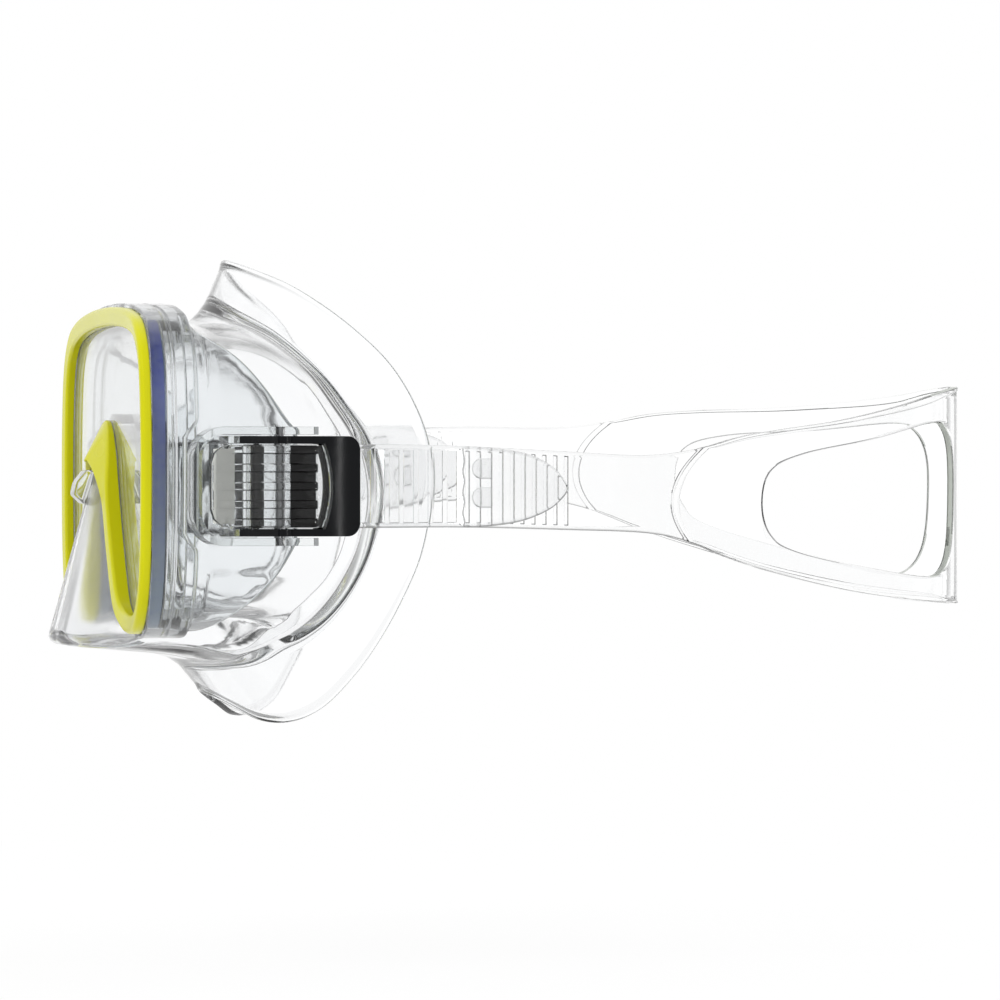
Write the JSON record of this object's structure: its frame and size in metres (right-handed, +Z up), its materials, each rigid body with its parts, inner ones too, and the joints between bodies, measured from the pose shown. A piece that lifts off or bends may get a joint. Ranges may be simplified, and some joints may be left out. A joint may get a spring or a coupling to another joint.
{
  "type": "snorkel mask",
  "caption": "Clear snorkel mask with a yellow lens bezel, silicone skirt with nose pocket, swivel strap buckles with release buttons and a split head strap.",
  "frame": {"origin": "centre of the face opening, on the mid-plane, level with the middle of the lens frame and 45 mm behind the front of the glass", "axes": "+X rearward from the lens to the strap, +Y to the wearer's right, +Z up as worn"},
  "size_m": [0.25, 0.1794, 0.1229],
  "materials": {
    "clear_frame": "polished clear polycarbonate",
    "lens_glass": "clear tempered glass",
    "bezel_yellow": "gloss yellow",
    "skirt_silicone": "clear silicone",
    "strap_silicone": "clear silicone, ridged",
    "buckle_black": "satin black acetal",
    "buckle_clear": "polished clear polycarbonate",
    "steel": "stainless"
  },
  "bodies": {
    "mask": {"frame": "clear_frame", "lens_bezel": "bezel_yellow", "lens": "lens_glass", "nose_clip": "clear_frame", "skirt": "skirt_silicone", "head_strap": "strap_silicone", "left_buckle_housing": "buckle_clear", "left_swivel_pin": "steel", "right_buckle_housing": "buckle_clear", "right_swivel_pin": "steel"},
    "left_yoke_body": {"left_yoke": "buckle_black", "left_roller_axle": "steel", "left_button_spring": "steel"},
    "left_button_body": {"left_release_button": "buckle_clear", "left_pawl": "buckle_black"},
    "left_roller_body": {"left_strap_roller": "buckle_black"},
    "right_yoke_body": {"right_yoke": "buckle_black", "right_roller_axle": "steel", "right_button_spring": "steel"},
    "right_button_body": {"right_release_button": "buckle_clear", "right_pawl": "buckle_black"},
    "right_roller_body": {"right_strap_roller": "buckle_black"}
  },
  "joints": [
    {"name": "left_buckle_swivel", "type": "hinge", "parent": "mask", "child": "left_yoke_body", "pos_m": [-0.0126, -0.081, -0.0042], "axis": [0, 0, 1], "range_deg": [-10, 12], "deforming": ["head_strap"]},
    {"name": "left_button_press", "type": "hinge", "parent": "left_yoke_body", "child": "left_button_body", "pos_m": [-0.01209, -0.08688, -0.0042], "axis": [0, 0, -1], "range_deg": [0, 5], "stiffness_Nm_per_rad": 0.05, "springref_deg": -2.86, "deforming": ["left_button_spring"]},
    {"name": "left_roller_spin", "type": "hinge", "parent": "left_yoke_body", "child": "left_roller_body", "pos_m": [-0.01858, -0.08152, -0.0042], "axis": [0, 0, 1], "continuous": true},
    {"name": "right_buckle_swivel", "type": "hinge", "parent": "mask", "child": "right_yoke_body", "pos_m": [-0.0126, 0.081, -0.0042], "axis": [0, 0, -1], "range_deg": [-10, 12], "deforming": ["head_strap"]},
    {"name": "right_button_press", "type": "hinge", "parent": "right_yoke_body", "child": "right_button_body", "pos_m": [-0.01209, 0.08688, -0.0042], "axis": [0, 0, 1], "range_deg": [0, 5], "stiffness_Nm_per_rad": 0.05, "springref_deg": -2.86, "deforming": ["right_button_spring"]},
    {"name": "right_roller_spin", "type": "hinge", "parent": "right_yoke_body", "child": "right_roller_body", "pos_m": [-0.01858, 0.08152, -0.0042], "axis": [0, 0, 1], "continuous": true}
  ]
}
